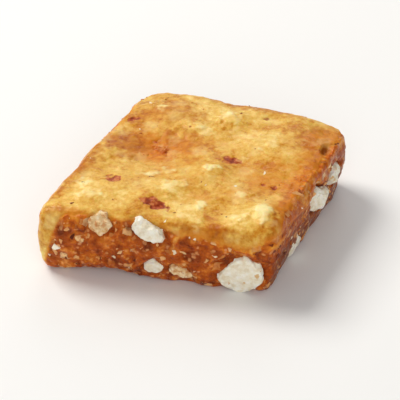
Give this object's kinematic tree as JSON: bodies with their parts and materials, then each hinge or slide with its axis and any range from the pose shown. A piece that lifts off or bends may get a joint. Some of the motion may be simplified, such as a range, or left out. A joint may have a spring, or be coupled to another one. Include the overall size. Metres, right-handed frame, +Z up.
{
  "type": "nut brittle piece",
  "caption": "Bite-size square of golden nut brittle with a lumpy poured top, soft edges and cut sides that show chalky white nut sections; lies flat on its base",
  "frame": {"origin": "middle of the base's bounding box, on the surface that the piece lies on", "axes": "+Z up through the slab's thickness; +X along the front side to the right; +Y from the front side to the back side"},
  "size_m": [0.0414, 0.039, 0.0132],
  "materials": {
    "candy": "satin golden amber candy, deeper orange-brown on the cut sides, softly translucent",
    "nut": "chalky off-white chopped nut, cut face, fine grained",
    "nut_skin": "thin red-brown skin of the nuts, in small flakes"
  },
  "bodies": {
    "root": {"candy": "candy", "nut_front_corner": "nut", "nut_front_chip": "nut", "nut_front_left": "nut", "nut_front_low": "nut", "nut_front_foot": "nut", "nut_right_front": "nut", "nut_right_middle": "nut", "nut_right_back": "nut", "nut_back_right": "nut", "nut_back_middle": "nut", "nut_back_left": "nut", "nut_left_back": "nut", "nut_left_middle": "nut", "nut_left_front": "nut"}
  },
  "joints": []
}
